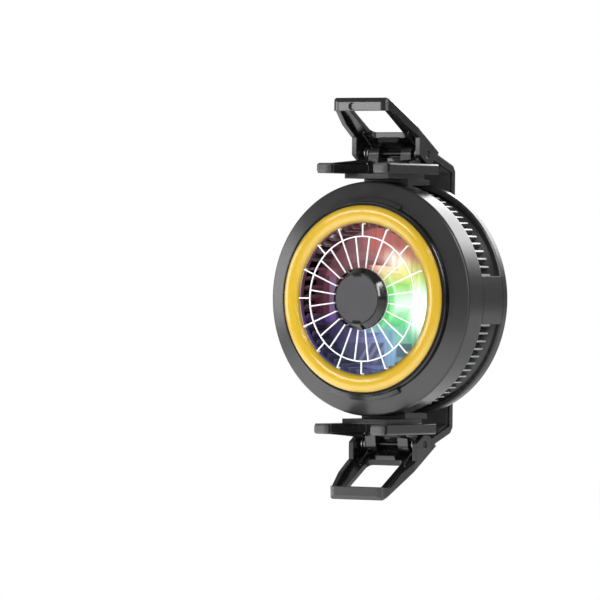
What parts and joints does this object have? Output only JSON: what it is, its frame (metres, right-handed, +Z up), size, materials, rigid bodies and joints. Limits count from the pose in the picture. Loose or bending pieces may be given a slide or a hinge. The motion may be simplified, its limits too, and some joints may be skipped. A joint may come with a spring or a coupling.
{
  "type": "clip-on phone cooling fan",
  "caption": "Round clip-on phone cooler with a caged fan in front, a cold plate behind and sprung clamps above and below that hold the phone.",
  "frame": {"origin": "centre of the cold plate's face, where it lies on the phone", "axes": "-Y forward, the way the fan's grille faces; +Y into the phone; +Z up, towards the upper clamp; +X to the right as seen from the front"},
  "size_m": [0.0662, 0.041, 0.1126],
  "materials": {
    "body_plastic": "fine textured moulded plastic",
    "black_gloss": "polished moulded plastic",
    "yellow_gloss": "polished moulded plastic",
    "white_plastic": "satin moulded plastic",
    "hub_grey": "satin moulded plastic",
    "smoked_plastic": "smoked moulded plastic",
    "clear_acrylic": "frosted acrylic",
    "bare_aluminium": "fine milled",
    "steel": "bright zinc plated",
    "spring_steel": "drawn wire",
    "laminated_steel": "stacked sheets",
    "copper_wire": "enamelled copper wire",
    "sintered_bronze": "sintered, oiled",
    "ferrite": "bonded ferrite",
    "ceramic": "white alumina",
    "foam": "closed-cell foam",
    "circuit_board": "solder-masked glass-epoxy board",
    "led_white": "moulded LED body",
    "pad_rubber": "moulded silicone rubber",
    "tip_rubber": "moulded grey silicone rubber"
  },
  "bodies": {
    "housing": {"cold_plate": "bare_aluminium", "thermoelectric_module": "ceramic", "insulation_frame": "foam", "cold_plate_screws": "steel", "heatsink": "bare_aluminium", "rear_cover": "body_plastic", "usb_c_socket": "steel", "control_board": "circuit_board", "front_shell": "body_plastic", "housing_screws": "steel", "collar_ring": "black_gloss", "collar_covers": "body_plastic", "yellow_trim_ring": "yellow_gloss", "spoke_guard": "white_plastic", "hub_cap": "black_gloss", "hub_disc": "hub_grey", "light_guide_ring": "clear_acrylic", "led_board": "circuit_board", "leds": "led_white", "motor_base": "white_plastic", "sleeve_bearing": "sintered_bronze", "motor_board": "circuit_board", "stator_core": "laminated_steel", "stator_windings": "copper_wire", "upper_fork_bracket": "body_plastic", "upper_fork_screws": "steel", "upper_fork_tips": "tip_rubber", "upper_torsion_springs": "spring_steel", "lower_fork_bracket": "body_plastic", "lower_fork_screws": "steel", "lower_fork_tips": "tip_rubber", "lower_torsion_springs": "spring_steel"},
    "impeller": {"impeller": "smoked_plastic", "rotor_yoke": "steel", "rotor_magnet": "ferrite", "motor_shaft": "steel"},
    "upper_clamp": {"upper_lever": "body_plastic", "upper_claw": "body_plastic", "upper_claw_pad": "pad_rubber", "upper_claw_screws": "steel", "upper_hinge_pin": "steel"},
    "lower_clamp": {"lower_lever": "body_plastic", "lower_claw": "body_plastic", "lower_claw_pad": "pad_rubber", "lower_claw_screws": "steel", "lower_hinge_pin": "steel"}
  },
  "joints": [
    {"name": "impeller_spin", "type": "hinge", "parent": "housing", "child": "impeller", "pos_m": [0, 0, 0], "axis": [0, -1, 0], "continuous": true},
    {"name": "upper_clamp_squeeze", "type": "hinge", "parent": "housing", "child": "upper_clamp", "pos_m": [0, -0.00977, 0.04086], "axis": [1, 0, 0], "range_deg": [0, 20], "stiffness_Nm_per_rad": 0.06, "springref_deg": -28.65, "deforming": ["upper_torsion_springs"]},
    {"name": "lower_clamp_squeeze", "type": "hinge", "parent": "housing", "child": "lower_clamp", "pos_m": [0, -0.00977, -0.04086], "axis": [-1, 0, 0], "range_deg": [0, 20], "stiffness_Nm_per_rad": 0.06, "springref_deg": -28.65, "deforming": ["lower_torsion_springs"]}
  ]
}
